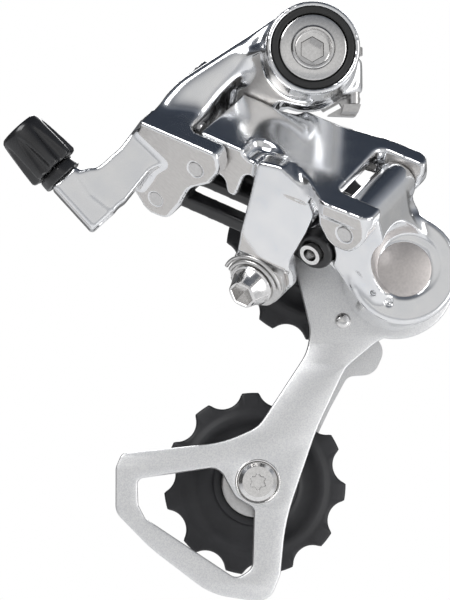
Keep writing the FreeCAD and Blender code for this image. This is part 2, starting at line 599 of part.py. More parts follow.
def inner_plate():
    outline = [(-2.6, -38.0, 5), (4.5, -36.4, 5), (10.5, -41.0, 5), (13.0, -56.0, 10),
               (20.6, -66.0, 4), (18.0, -72.0, 4), (11.6, -72.4, 3), (7.4, -80.0, 4),
               (1.6, -92.0, 20), (-4.4, -101.0, 4), (-9.6, -106.0, 5), (-17.6, -102.0, 6),
               (-17.0, -93.0, 6), (-6.0, -88.0, 12), (1.0, -72.0, 12), (4.6, -60.0, 12),
               (-2.4, -49.0, 5)]
    plate = side_prism(outline, INNER_PLATE_Y, INNER_PLATE_Y + INNER_PLATE_THICK)
    holes = [y_rod(at.x, at.z, PULLEY_BOLT_R, 10, 25) for at in (GUIDE, TENSION)]
    keep("cage_inner_plate", plate.cut(holes))


def cage_axle():
    axle = y_rod(PIVOT_X, PIVOT_Z, AXLE_R, DRUM_FRONT + 1.2, PLATE_UPPER_Y + PLATE_THICK)
    rivet = y_rod(PIVOT_X, PIVOT_Z, AXLE_R + 2.5, PLATE_UPPER_Y + PLATE_THICK,
                  PLATE_UPPER_Y + PLATE_THICK + 1.2)
    keep("cage_axle", axle.fuse(rivet))


def stop_pin():
    shank = y_rod(STOP_X, STOP_Z, 1.5, PLATE_UPPER_Y, PLATE_UPPER_Y + PLATE_THICK + 0.6)
    head = y_rod(STOP_X, STOP_Z, 1.9, PLATE_UPPER_Y - 1.0, PLATE_UPPER_Y)
    keep("cage_stop_pin", shank.fuse(head))


def pulley_outline(radius_out):
    """Toothed rim: round valleys between teeth with narrow tips."""
    centre_r = ROOT_R + VALLEY_R
    cosine = (radius_out ** 2 + centre_r ** 2 - VALLEY_R ** 2) / (2 * radius_out * centre_r)
    spread = math.degrees(math.acos(cosine))
    pitch = 360.0 / TEETH
    edges = []

    def at(radius, degrees):
        return Vector(radius * math.cos(math.radians(degrees)),
                      radius * math.sin(math.radians(degrees)), 0)

    for k in range(TEETH):
        middle = k * pitch + pitch / 2
        edges.append(Part.Arc(at(radius_out, middle - spread), at(ROOT_R, middle),
                              at(radius_out, middle + spread)).toShape())
        edges.append(Part.Arc(at(radius_out, middle + spread), at(radius_out, middle + pitch / 2),
                              at(radius_out, middle + pitch - spread)).toShape())
    return Part.Face(Part.Wire(edges))


def pulley(name, centre, first_tooth):
    """Jockey wheel; first_tooth is the angle of one tooth above +X, in the side view."""
    rim = pulley_outline(TIP_R).extrude(Vector(0, 0, TOOTH_THICK))
    rim.translate(Vector(0, 0, -TOOTH_THICK / 2))
    rib = tube(0, 0, 16.4, 14.6, -1.9, 1.9)
    hub = rod(0, 0, 9.9, -HUB_THICK / 2, HUB_THICK / 2)
    wheel = rim.fuse([rib, hub]).cut(rod(0, 0, BUSHING_R + RUNNING, -5, 5))
    cap_seat = 2.0
    for low in (-5.0, cap_seat):
        wheel = wheel.cut(rod(0, 0, 8.4, low, low + 3.0))
    wheel.rotate(Vector(0, 0, 0), Vector(0, 0, 1), -first_tooth)
    wheel.rotate(Vector(0, 0, 0), Vector(1, 0, 0), -90)
    wheel.translate(centre)
    keep(name, wheel)


def pulley_parts(prefix, centre, head_y):
    half = BUSHING_LENGTH / 2
    keep(prefix + "_pulley_bushing", y_tube(centre.x, centre.z, BUSHING_R, PULLEY_BOLT_R,
                                            PULLEY_Y - half, PULLEY_Y + half))
    caps = [y_tube(centre.x, centre.z, 8.0, BUSHING_R, PULLEY_Y + side * 3.0 - 0.5,
                   PULLEY_Y + side * 3.0 + 0.5) for side in (-1, 1)]
    keep(prefix + "_pulley_dust_caps", Part.makeCompound(caps))
    head = y_rod(centre.x, centre.z, 4.7, head_y - 1.9, head_y)
    star = y_rod(centre.x, centre.z, 1.7, head_y - 3, head_y - 0.7)
    shank = y_rod(centre.x, centre.z, PULLEY_BOLT_R, head_y, INNER_PLATE_Y + INNER_PLATE_THICK + 0.8)
    keep(prefix + "_pulley_bolt", head.fuse(shank).cut(star))


def spacers():
    """Sleeves between the plates and the pulley bushings."""
    half = BUSHING_LENGTH / 2
    upper_back = PLATE_UPPER_Y + PLATE_THICK
    for prefix, at, low in (("guide", GUIDE, upper_back), ("tension", TENSION, upper_back - PLATE_JOG)):
        outer = y_tube(at.x, at.z, 4.2, PULLEY_BOLT_R, low, PULLEY_Y - half)
        inner = y_tube(at.x, at.z, 4.2, PULLEY_BOLT_R, PULLEY_Y + half, INNER_PLATE_Y)
        keep(prefix + "_pulley_spacers", Part.makeCompound([outer, inner]))


def build():
    hanger_bolt()
    stop_plate()
    retaining_ring()
    body_seal()
    hanger_bushing()
    hanger_spring()
    b_knuckle()
    angle_screw()
    limit_screws()
    knuckle_pins()
    adjuster()
    outer_link()
    cable_clamp()
    inner_link()
    front_pins()
    return_spring()
    p_knuckle()
    pivot_parts()
    outer_plate()
    inner_plate()
    cage_axle()
    stop_pin()
    pulley("guide_pulley", GUIDE, 170.2)
    pulley("tension_pulley", TENSION, 92.9)
    pulley_parts("guide", GUIDE, PLATE_UPPER_Y)
    pulley_parts("tension", TENSION, PLATE_UPPER_Y - PLATE_JOG + 1.4)
    spacers()


def export():
    os.makedirs("parts", exist_ok=True)
    for name, shape in NODES.items():
        shape.exportStep("parts/" + name + ".step")
        print(name, len(shape.Solids), "solids", round(shape.Volume, 1), "mm3")


build()
export()
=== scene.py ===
"""Looks of the rear derailleur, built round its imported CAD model.

The forged knuckles and links take the CAD solid and soften it as a forging die and a polishing wheel
would: concave corners are filled to one radius and convex edges worn to another. The turned, moulded
and stamped pieces are built again with the small detail that the CAD model leaves out.
"""
import math

import bmesh
import bpy
import numpy as np
import openvdb as vdb
from mathutils import Matrix, Vector
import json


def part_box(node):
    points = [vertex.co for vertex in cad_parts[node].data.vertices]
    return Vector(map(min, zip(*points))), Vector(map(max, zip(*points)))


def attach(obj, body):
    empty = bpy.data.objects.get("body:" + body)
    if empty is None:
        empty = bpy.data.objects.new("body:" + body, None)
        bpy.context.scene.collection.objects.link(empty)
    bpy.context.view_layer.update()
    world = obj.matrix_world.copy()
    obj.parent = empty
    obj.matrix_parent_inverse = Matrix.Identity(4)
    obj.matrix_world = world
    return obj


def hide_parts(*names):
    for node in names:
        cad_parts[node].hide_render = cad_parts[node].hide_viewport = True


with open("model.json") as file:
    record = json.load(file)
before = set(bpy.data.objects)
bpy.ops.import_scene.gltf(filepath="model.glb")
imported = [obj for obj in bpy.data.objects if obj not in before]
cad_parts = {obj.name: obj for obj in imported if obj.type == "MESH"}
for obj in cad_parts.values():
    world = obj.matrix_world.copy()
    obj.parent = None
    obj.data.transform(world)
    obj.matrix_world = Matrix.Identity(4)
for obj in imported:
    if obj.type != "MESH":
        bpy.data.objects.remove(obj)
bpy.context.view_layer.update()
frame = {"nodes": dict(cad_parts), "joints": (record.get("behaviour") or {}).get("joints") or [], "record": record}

MM = 0.001

# ---- driving dimensions: millimetres and degrees, in the part's frame or the link's (u, v, w) --
CREASE = ((13.9, 13.3, 0.2), (25.5, -0.1, 2.9))  # between the two facets of the cable arm
WEDGE_FALL = (-4.4, -19.0)      # slope of the cable arm's face: its normal in v and w
FACET_TILT = 7                  # how far the lower facet turns from the upper one
ARM_END_U = 31.2
ARM_TOP_V = -1.0
BOWL_DEPTH = -14.9              # y of the disc at the bottom of the cage knuckle's bowl
BOWL_R = 9.4
BOWL_CENTRE = (1.2, -6.2, 1.0)  # of the ball that hollows it, from the middle of the disc
SPANNER_SLOT = ((9.8, -17.0, -52.2), (12.6, -17.0, -56.2))
DIMPLES = ((14.4, -55.6), (17.8, -57.9))
CLAMP_U = 18.2
CLAMP_V = 25.0
KNOB_RIBS = 8
TEETH = 11
TIP_R = 21.5
ROOT_R = 18.85
VALLEY_R = 4.7                  # of the round valleys that a chain's rollers sit in
PLATE_THICK = 2.3
PLATE_UPPER_Y = 3.0
PLATE_JOG = 2.0                 # how far the plate steps outboard between the two heights
JOG_TOP_Z = -66.0
JOG_BOTTOM_Z = -77.0
PLATE_BEVEL = 0.55
DRUM_RIM = 14.5                 # radius and angles of the plate's end under the cage knuckle
DRUM_RIM_FROM = -100
DRUM_RIM_TO = 130
PLATE_EDGE = [(-3.2, -46.0, 4), (-1.6, -50.0), (1.5, -62.6, 10), (0.6, -68.0, 12), (-11.0, -85.6, 8),
              (-19.2, -89.3, 30), (-42.9, -91.9, 1.6), (-44.3, -95.2, 3), (-44.3, -105.6, 4),
              (-36.0, -114.0, 40), (-22.0, -124.6, 16), (-8.6, -126.6, 6), (-5.9, -120.0, 4),
              (-4.7, -107.5, 60), (2.6, -86.2, 60), (9.6, -71.6, 8), (17.0, -65.4, 10)]
PLATE_TOP = [(9.4, -37.5, 1.0), (4.0, -35.8, 5), (-2.6, -39.0, 4)]
WINDOW = [(-39.3, -97.8, 1.6), (-20.2, -95.0, 3.4), (-16.4, -102.0, 3), (-12.0, -104.6, 1.5),
          (-12.4, -118.6, 3), (-16.2, -121.0, 2.5), (-37.4, -107.0, 2), (-39.0, -104.0, 2)]

# ---- view and studio, in metres and degrees ---------------------------------------------------
VIEW_POINT = Vector((-0.0185, 0.007, -0.0553))
VIEW_AZIMUTH = -3.5
VIEW_ELEVATION = -6.0
VIEW_DISTANCE = 0.7
FRAME_HEIGHT = 0.14184
SENSOR = 36.0
FLOOR_Z = -0.5
FLOOR_GLOW = 0.32


# ---- places, from the frame -----------------------------------------------------------------
JOINTS = {joint["name"]: joint for joint in frame["joints"]}
NODES = frame["nodes"]
INBOARD = Vector((0, 1, 0))
OUTBOARD = -INBOARD


def joint_point(name):
    return Vector(JOINTS[name]["pos_m"])


def joint_axis(name):
    return Vector(JOINTS[name]["axis"]).normalized()


PIN = joint_axis("outer_link_pivot")
ALONG = -joint_axis("high_limit_setting")
ACROSS = PIN.cross(ALONG)
LINK_ZERO = joint_point("outer_link_pivot")


def frame_at(origin, axis, reference=Vector((0, 0, 1))):
    """Matrix whose local z is axis and whose local x is as near to reference as can be."""
    z = axis.normalized()
    x = (reference - z * reference.dot(z)).normalized()
    y = z.cross(x)
    return Matrix.Translation(origin) @ Matrix((x, y, z)).transposed().to_4x4()


LINK = Matrix.Translation(LINK_ZERO) @ Matrix((ALONG, ACROSS, PIN)).transposed().to_4x4()
ADJUST = frame_at(joint_point("adjuster_turn"), joint_axis("adjuster_turn"), INBOARD)
HANGER = frame_at(Vector((0, 0, 0)), OUTBOARD)


# ---- mesh helpers ---------------------------------------------------------------------------
def make_object(name, verts, faces, material, smooth=True):
    mesh = bpy.data.meshes.new(name)
    mesh.from_pydata([tuple(v) for v in verts], [], [tuple(f) for f in faces])
    built = bmesh.new()
    built.from_mesh(mesh)
    bmesh.ops.remove_doubles(built, verts=built.verts, dist=1e-7)
    bmesh.ops.recalc_face_normals(built, faces=built.faces)
    for face in built.faces:
        face.smooth = smooth
    built.to_mesh(mesh)
    built.free()
    mesh.materials.append(material)
    piece = bpy.data.objects.new(name, mesh)
    bpy.context.scene.collection.objects.link(piece)
    return piece


def join_parts(name, parts, material):
    """One object from several (verts, faces) lists."""
    verts = []
    faces = []
    for part_verts, part_faces in parts:
        start = len(verts)
        verts.extend(part_verts)
        faces.extend([[start + i for i in face] for face in part_faces])
    return make_object(name, verts, faces, material)


def sharpen(piece, degrees=35):
    """Faces stay smooth across gentle edges and break at sharper ones."""
    piece.data.set_sharp_from_angle(angle=math.radians(degrees))
    return piece


def bevelled(piece, width, segments=2, degrees=30):
    """Rounds the sharp edges by width, in millimetres."""
    bevel = piece.modifiers.new("edge_round", "BEVEL")
    bevel.width = width * MM
    bevel.segments = segments
    bevel.limit_method = "ANGLE"
    bevel.angle_limit = math.radians(degrees)
    bevel.harden_normals = True
    return piece


def hexagon(angle):
    """Scale that turns a circle into the hexagon round it."""
    return 1 / math.cos(angle % (math.pi / 3) - math.pi / 6)


def lobes(count, depth):
    """Scale with count round lobes; the hollows between them are depth deep."""
    def outline(angle):
        return 1 - depth * (0.5 - 0.5 * math.cos(count * angle))
    return outline


def grooves(count, width, depth):
    """Scale with count round-bottomed grooves; width is their share of the way round."""
    def outline(angle):
        side = abs(angle * count / (2 * math.pi) % 1 - 0.5) * 2
        return 1 - depth * max(0.0, 1 - (side / width) ** 2)
    return outline


def turned(rings, matrix, steps=96):
    """Closed profile about local z: (radius, height) or (radius, height, outline) points."""
    verts = []
    faces = []
    count = len(rings)
    for k in range(steps):
        angle = 2 * math.pi * k / steps
        for ring in rings:
            radius = ring[0] * (ring[2](angle) if len(ring) > 2 else 1)
            local = Vector((radius * math.cos(angle), radius * math.sin(angle), ring[1]))
            verts.append(matrix @ (local * MM))
    for k in range(steps):
        here = k * count
        there = ((k + 1) % steps) * count
        for i in range(count):
            j = (i + 1) % count
            faces.append([here + i, here + j, there + j, there + i])
    return verts, faces


def screw_thread(radius, pitch, low, high, matrix, steps=48):
    """Outer thread between two heights, with closed ends."""
    depth = 0.6 * pitch
    rows = int((high - low) / pitch * 8)
    verts = []
    faces = []
    for j in range(rows + 1):
        height = low + (high - low) * j / rows
        fade = min(1.0, 2 * (height - low) / pitch + 0.2)
        for k in range(steps):
            ridge = abs((height / pitch - k / steps) % 1 * 2 - 1)
            own = (radius - depth * min(1.0, ridge * 1.15)) * (1 - 0.08 * (1 - fade))
            angle = 2 * math.pi * k / steps
            local = Vector((own * math.cos(angle), own * math.sin(angle), height))
            verts.append(matrix @ (local * MM))
    for j in range(rows):
        for k in range(steps):
            m = (k + 1) % steps
            faces.append([j * steps + k, j * steps + m, (j + 1) * steps + m, (j + 1) * steps + k])
    faces.append(list(range(steps)))
    faces.append([rows * steps + k for k in range(steps)])
    return verts, faces


def rounded(points, radius, steps=3):
    """Profile or outline with its corners rounded; a point may carry its own radius."""
    result = []
    count = len(points)
    for i, point in enumerate(points):
        here = Vector(point[:2])
        own = point[2] if len(point) > 2 else radius
        before = Vector(points[i - 1][:2]) - here
        after = Vector(points[(i + 1) % count][:2]) - here
        turn = before.angle(after, 0.0) if before.length and after.length else 0.0
        if own <= 0 or turn < 0.05 or turn > math.pi - 0.05:
            result.append(tuple(here))
            continue
        reach = min(own / math.tan(turn / 2), before.length * 0.48, after.length * 0.48)
        arc = reach * math.tan(turn / 2)
        bisector = (before.normalized() + after.normalized()).normalized()
        centre = here + bisector * (arc / math.sin(turn / 2))
        first = here + before.normalized() * reach - centre
        last = here + after.normalized() * reach - centre
        swing = first.angle_signed(last, 0.0)
        for k in range(steps + 1):
            spoke = first.copy()
            spoke.rotate(Matrix.Rotation(-swing * k / steps, 2))
            result.append(tuple(centre + spoke))
    return result


def extrude(outline, low, high, matrix):
    """Closed outline in local x, y, in millimetres, with flat ends."""
    count = len(outline)
    verts = [matrix @ (Vector((x, y, z)) * MM) for z in (low, high) for x, y in outline]
    faces = [list(range(count))[::-1], list(range(count, 2 * count))]
    for i in range(count):
        j = (i + 1) % count
        faces.append([i, j, count + j, count + i])
    return verts, faces


# ---- forgings: distances on a grid ----------------------------------------------------------
def node_mesh(name):
    """Points, in millimetres, and triangles of a CAD node."""
    mesh = NODES[name].data
    mesh.calc_loop_triangles()
    points = np.empty(len(mesh.vertices) * 3, np.float32)
    mesh.vertices.foreach_get("co", points)
    triangles = np.empty(len(mesh.loop_triangles) * 3, np.int32)
    mesh.loop_triangles.foreach_get("vertices", triangles)
    return points.reshape(-1, 3) / MM, triangles.reshape(-1, 3).astype(np.uint32)


def level_set(points, voxel, reach, triangles=None, quads=None):
    transform = vdb.createLinearTransform(voxelSize=voxel)
    return vdb.FloatGrid.createLevelSetFromPolygons(points, triangles=triangles, quads=quads,
                                                    transform=transform, halfWidth=reach / voxel + 3)


def soft_min(a, b, blend):
    """Lower of two distances, with a fillet about blend wide where they meet."""
    near = np.maximum(blend - np.abs(a - b), 0) / blend
    return np.minimum(a, b) - near * near * blend / 4


class Clay:
    """Distances, in millimetres, to a CAD node whose concave corners are filled to radius fill
    and whose convex edges are worn to radius wear. More shapes can be cut off it."""

    def __init__(self, node, fill, wear, voxel=0.3, reach=6.0):
        self.voxel = voxel
        points, triangles = node_mesh(node)
        points, quads = level_set(points, voxel, fill, triangles=triangles).convertToQuads(fill)
        grid = level_set(points, voxel, fill + wear, quads=quads)
        points, quads = grid.convertToQuads(-fill - wear)
        grid = level_set(points, voxel, reach, quads=quads)
        margin = int(3 / voxel)
        self.low = np.floor(points.min(axis=0) / voxel).astype(int) - margin
        high = np.ceil(points.max(axis=0) / voxel).astype(int) + margin
        shape = tuple(int(n) for n in high - self.low)
        self.field = np.empty(shape, np.float32)
        grid.copyToArray(self.field, ijk=tuple(int(n) for n in self.low))
        self.field -= wear
        self.axes = [(np.arange(n, dtype=np.float32) + low) * voxel
                     for n, low in zip(shape, self.low)]

    def along(self, direction, origin):
        """Distance along a direction from an origin, both in the part's frame, in millimetres."""
        x, y, z = self.axes
        return ((x[:, None, None] - origin[0]) * direction[0]
                + (y[None, :, None] - origin[1]) * direction[1]
                + (z[None, None, :] - origin[2]) * direction[2])

    def ball(self, centre, radius):
        spans = [self.along(axis, centre) for axis in np.eye(3)]
        return np.sqrt(sum(span ** 2 for span in spans)) - radius

    def rod(self, first, last, radius):
        """Rod with round ends."""
        first = np.array(first, np.float32)
        run = np.array(last, np.float32) - first
        length = float(np.linalg.norm(run))
        way = np.clip(self.along(run / length, first), 0, length)
        spans = [self.along(axis, first) - way * run[i] / length for i, axis in enumerate(np.eye(3))]
        return np.sqrt(sum(span ** 2 for span in spans)) - radius

    def cut(self, shape, blend):
        self.field = -soft_min(-self.field, shape, blend)

    def piece(self, name, material, smoothing=4, soft=None, soft_steps=0):
        """Mesh of the surface; soft gives each point, in millimetres, its share of more polishing."""
        grid = vdb.FloatGrid(6.0)
        grid.transform = vdb.createLinearTransform(voxelSize=self.voxel)
        grid.copyFromArray(self.field.astype(np.float32), ijk=tuple(int(n) for n in self.low))
        points, quads = grid.convertToQuads(0)
        made = make_object(name, points * MM, quads.tolist(), material)
        polish = made.modifiers.new("polish", "SMOOTH")
        polish.factor = 0.5
        polish.iterations = smoothing
        if soft is not None:
            group = made.vertex_groups.new(name="soft")
            for vertex in made.data.vertices:
                share = soft(vertex.co / MM)
                if share > 0.01:
                    group.add([vertex.index], min(1.0, share), "REPLACE")
            wear = made.modifiers.new("wear", "SMOOTH")
            wear.factor = 0.5
            wear.iterations = soft_steps
            wear.vertex_group = "soft"
        return made


# ---- node helpers ---------------------------------------------------------------------------
def new_material(name):
    material = bpy.data.materials.new(name)
    material.use_nodes = True
    tree = material.node_tree
    shader = tree.nodes["Principled BSDF"]
    return material, tree, shader


def noise(tree, scale, detail=3.0, stretch=None, roughness=0.5):
    """Noise in object space; scale is in cycles per metre."""
    place = tree.nodes.new("ShaderNodeTexCoord")
    source = place.outputs["Object"]
    if stretch is not None:
        mapping = tree.nodes.new("ShaderNodeMapping")
        mapping.inputs["Scale"].default_value = stretch
        tree.links.new(source, mapping.inputs["Vector"])
        source = mapping.outputs["Vector"]
    texture = tree.nodes.new("ShaderNodeTexNoise")
    texture.inputs["Scale"].default_value = scale
    texture.inputs["Detail"].default_value = detail
    texture.inputs["Roughness"].default_value = roughness
    tree.links.new(source, texture.inputs["Vector"])
    return texture.outputs["Fac"]


def ramp(tree, source, stops):
    """Colour ramp; stops are (position, colour) with colour as grey or (r, g, b)."""
    node = tree.nodes.new("ShaderNodeValToRGB")
    while len(node.color_ramp.elements) < len(stops):
        node.color_ramp.elements.new(0.5)
    for element, (position, colour) in zip(node.color_ramp.elements, stops):
        element.position = position
        rgb = colour if isinstance(colour, tuple) else (colour, colour, colour)
        element.color = (*rgb, 1.0)
    tree.links.new(source, node.inputs["Fac"])
    return node.outputs["Color"]


def remap(tree, source, low, high):
    node = tree.nodes.new("ShaderNodeMapRange")
    node.inputs["To Min"].default_value = low
    node.inputs["To Max"].default_value = high
    tree.links.new(source, node.inputs["Value"])
    return node.outputs["Result"]


def bump(tree, shader, height, distance, strength=1.0):
    node = tree.nodes.new("ShaderNodeBump")
    node.inputs["Distance"].default_value = distance
    node.inputs["Strength"].default_value = strength
    tree.links.new(height, node.inputs["Height"])
    tree.links.new(node.outputs["Normal"], shader.inputs["Normal"])


def facing(tree, direction, low, high):
    """1 where the surface faces direction, in the piece's own frame, and 0 away from it."""
    place = tree.nodes.new("ShaderNodeTexCoord")
    dot = tree.nodes.new("ShaderNodeVectorMath")
    dot.operation = "DOT_PRODUCT"
    dot.inputs[1].default_value = direction
    tree.links.new(place.outputs["Normal"], dot.inputs[0])
    blend = tree.nodes.new("ShaderNodeMapRange")
    blend.interpolation_type = "SMOOTHSTEP"
    blend.inputs["From Min"].default_value = low
    blend.inputs["From Max"].default_value = high
    tree.links.new(dot.outputs["Value"], blend.inputs["Value"])
    return blend.outputs["Result"]


def mix(tree, factor, first, second, kind="FLOAT"):
    node = tree.nodes.new("ShaderNodeMix")
    node.data_type = kind
    sockets = [s for s in node.inputs if s.type == ("VALUE" if kind == "FLOAT" else "RGBA")]
    pair = sockets[-2:]
    tree.links.new(factor, node.inputs["Factor"])
    for socket, value in zip(pair, (first, second)):
        if isinstance(value, (int, float, tuple)):
            socket.default_value = value
        else:
            tree.links.new(value, socket)
    return next(s for s in node.outputs if s.enabled and s.type == pair[0].type)


def mix_colours(tree, blend, first, second):
    node = tree.nodes.new("ShaderNodeMix")
    node.data_type = "RGBA"
    node.blend_type = blend
    node.inputs["Factor"].default_value = 1.0
    pair = [socket for socket in node.inputs if socket.type == "RGBA"]
    tree.links.new(first, pair[0])
    tree.links.new(second, pair[1])
    return next(socket for socket in node.outputs if socket.type == "RGBA")


# ---- materials ------------------------------------------------------------------------------
def polished_aluminium(name, satin_from):
    """Forged and polished; faces nearly square to the link pins are machined satin."""
    material, tree, shader = new_material(name)
    shader.inputs["Metallic"].default_value = 1.0
    clouds = noise(tree, 220.0, 4.0)
    lines = noise(tree, 900.0, 3.0, stretch=(1.0, 6.0, 1.0))
    shine = remap(tree, clouds, 0.10, 0.20)
    flat = facing(tree, -PIN, satin_from, satin_from + 0.01)
    satin = remap(tree, lines, 0.34, 0.48)
    tree.links.new(mix(tree, flat, shine, satin), shader.inputs["Roughness"])
    tone = ramp(tree, clouds, ((0.3, (0.80, 0.81, 0.83)), (0.7, (0.88, 0.88, 0.88))))
    warm = ramp(tree, lines, ((0.3, (0.62, 0.60, 0.58)), (0.7, (0.72, 0.70, 0.68))))
    tree.links.new(mix(tree, flat, tone, warm, "RGBA"), shader.inputs["Base Color"])
    bump(tree, shader, lines, 0.00001, 0.5)
    return material


def blasted_aluminium():
    """Bead-blasted and anodised: fine sparkling grain."""
    material, tree, shader = new_material("blasted_aluminium")
    shader.inputs["Metallic"].default_value = 1.0
    grain = noise(tree, 7000.0, 2.0)
    coarse = noise(tree, 3600.0, 3.0)
    tree.links.new(remap(tree, grain, 0.30, 0.5), shader.inputs["Roughness"])
    tone = ramp(tree, coarse, ((0.35, (0.76, 0.76, 0.77)), (0.65, (0.90, 0.90, 0.89))))
    tree.links.new(tone, shader.inputs["Base Color"])
    bump(tree, shader, grain, 0.00003, 1.0)
    return material


def turned_steel(name, colour, low, high):
    material, tree, shader = new_material(name)
    shader.inputs["Metallic"].default_value = 1.0
    shader.inputs["Anisotropic"].default_value = 0.3
    lines = noise(tree, 1600.0, 3.0)
    tree.links.new(remap(tree, lines, low, high), shader.inputs["Roughness"])
    dark = tuple(c * 0.86 for c in colour)
    tree.links.new(ramp(tree, lines, ((0.3, dark), (0.7, colour))), shader.inputs["Base Color"])
    bump(tree, shader, lines, 0.000008, 0.6)
    return material


def moulded(name, colour, low, high, grain_scale=2600.0, height=0.00002, coat=0.0):
    """Moulded resin, paint or rubber: fine grain over slow changes in shine."""
    material, tree, shader = new_material(name)
    shader.inputs["Coat Weight"].default_value = coat
    shader.inputs["Coat Roughness"].default_value = 0.12
    grain = noise(tree, grain_scale, 3.0)
    slow = noise(tree, 160.0, 4.0)
    tree.links.new(remap(tree, slow, low, high), shader.inputs["Roughness"])
    light = tuple(min(1.0, c * 1.5 + 0.004) for c in colour)
    tree.links.new(ramp(tree, slow, ((0.35, colour), (0.7, light))), shader.inputs["Base Color"])
    bump(tree, shader, grain, height, 0.7)
    return material


FORGED = polished_aluminium("polished_aluminium", 0.984)
MIRROR = polished_aluminium("mirror_aluminium", 1.5)
BLASTED = blasted_aluminium()
STEEL = turned_steel("turned_steel", (0.70, 0.69, 0.68), 0.24, 0.38)
BRIGHT = turned_steel("plated_steel", (0.84, 0.83, 0.82), 0.10, 0.22)
SPRING = turned_steel("spring_wire", (0.10, 0.10, 0.11), 0.25, 0.4)
CAP = turned_steel("cap_disc", (0.66, 0.62, 0.60), 0.38, 0.5)
PAINT = moulded("black_paint", (0.010, 0.010, 0.011), 0.30, 0.42, coat=0.3)
RESIN = moulded("black_resin", (0.014, 0.014, 0.016), 0.40, 0.55)
GLOSS = moulded("gloss_resin", (0.010, 0.010, 0.011), 0.20, 0.34, coat=0.4)
BEARING = moulded("bearing_resin", (0.20, 0.20, 0.21), 0.45, 0.6)
RUBBER = moulded("seal_rubber", (0.012, 0.012, 0.012), 0.5, 0.7)
SLOT_MATERIALS = {
    "forged_aluminium": FORGED, "blasted_aluminium": BLASTED, "steel": STEEL,
    "plated_steel": BRIGHT, "black_paint": PAINT, "black_resin": RESIN, "gloss_resin": GLOSS,
    "bearing_resin": BEARING, "seal_rubber": RUBBER, "spring_steel": SPRING, "cap_finish": CAP,
}
NODE_SLOTS = {part["node"]: part["material_slot"] for part in frame["record"]["subparts"]}


def finish_cad_nodes():
    """Every CAD node gets the finish of its material slot."""
    for name, node in NODES.items():
        node.data.materials.clear()
        node.data.materials.append(SLOT_MATERIALS[NODE_SLOTS[name]])


def stand_for(piece, node, body):
    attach(piece, body)
    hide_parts(node)


# ---- studio ---------------------------------------------------------------------------------
def studio_camera():
    azimuth = math.radians(VIEW_AZIMUTH)
    elevation = math.radians(VIEW_ELEVATION)
    back = Vector((math.sin(azimuth) * math.cos(elevation),
                   -math.cos(azimuth) * math.cos(elevation), math.sin(elevation)))
    data = bpy.data.cameras.new("camera")
    data.sensor_width = SENSOR
    data.lens = SENSOR * VIEW_DISTANCE / FRAME_HEIGHT
    data.clip_start = 0.01
    camera = bpy.data.objects.new("camera", data)
    camera.location = VIEW_POINT + back * VIEW_DISTANCE
    camera.rotation_mode = "QUATERNION"
    camera.rotation_quaternion = back.to_track_quat("Z", "Y")
    bpy.context.scene.collection.objects.link(camera)
    bpy.context.scene.camera = camera


def area_light(name, location, size, power):
    data = bpy.data.lights.new(name, "AREA")
    data.shape = "RECTANGLE"
    data.size, data.size_y = size
    data.energy = power
    light = bpy.data.objects.new(name, data)
    light.location = location
    light.rotation_mode = "QUATERNION"
    light.rotation_quaternion = (Vector(location) - VIEW_POINT).to_track_quat("Z", "Y")
    bpy.context.scene.collection.objects.link(light)


def studio_world():
    """White room with a dark ceiling, a dim end behind the part and a dark flag to its left, so
    that polished faces have tone. The camera itself sees plain white behind the part."""
    world = bpy.data.worlds.new("studio")
    bpy.context.scene.world = world
    world.use_nodes = True
    tree = world.node_tree
    background = tree.nodes["Background"]
    place = tree.nodes.new("ShaderNodeTexCoord")
    split = tree.nodes.new("ShaderNodeSeparateXYZ")
    tree.links.new(place.outputs["Generated"], split.inputs["Vector"])
    height = remap(tree, split.outputs["Z"], 0.0, 1.0)
    height.node.inputs["From Min"].default_value = -1.0
    colour = ramp(tree, height, ((0.0, 0.80), (0.40, 0.92), (0.60, 0.85), (0.80, (0.30, 0.32, 0.36)),
                                 (0.97, (0.05, 0.06, 0.08))))
    depth = remap(tree, split.outputs["Y"], 0.0, 1.0)
    depth.node.inputs["From Min"].default_value = -1.0
    shade = ramp(tree, depth, ((0.0, 0.82), (0.05, 0.66), (0.11, 0.48), (0.24, 1.0), (0.55, 0.90),
                               (0.80, 0.26), (1.0, 0.16)))
    colour = mix_colours(tree, "MULTIPLY", colour, shade)
    side = remap(tree, split.outputs["X"], 0.0, 1.0)
    side.node.inputs["From Min"].default_value = -1.0
    flag = ramp(tree, side, ((0.0, 0.10), (0.085, 0.14), (0.15, 1.0), (0.95, 1.0), (1.0, 0.55)))
    colour = mix_colours(tree, "MULTIPLY", colour, flag)
    path = tree.nodes.new("ShaderNodeLightPath")
    seen = mix(tree, path.outputs["Is Camera Ray"], colour, (1.0, 1.0, 1.0, 1.0), "RGBA")
    tree.links.new(seen, background.inputs["Color"])
    background.inputs["Strength"].default_value = 1.0


def studio_floor():
    size = 6.0
    material, _, shader = new_material("studio_floor")
    shader.inputs["Roughness"].default_value = 0.8
    shader.inputs["Base Color"].default_value = (0.95, 0.95, 0.95, 1.0)
    shader.inputs["Emission Color"].default_value = (1.0, 1.0, 1.0, 1.0)
    shader.inputs["Emission Strength"].default_value = FLOOR_GLOW
    corners = [(-size, -size, FLOOR_Z), (size, -size, FLOOR_Z), (size, size, FLOOR_Z),
               (-size, size, FLOOR_Z)]
    floor = make_object("studio_floor", corners, [[0, 1, 2, 3]], material)


# ---- forged pieces --------------------------------------------------------------------------
def link_place(point):
    """(u, v, w) of a point in the part's frame, in millimetres."""
    away = point - LINK_ZERO / MM
    return away.dot(ALONG), away.dot(ACROSS), away.dot(PIN)


def link_point(u, v, w):
    return LINK_ZERO / MM + ALONG * u + ACROSS * v + PIN * w


def ease(value, low, high):
    """0 below low, 1 above high, smooth between."""
    share = min(1.0, max(0.0, (value - low) / (high - low)))
    return share * share * (3 - 2 * share)


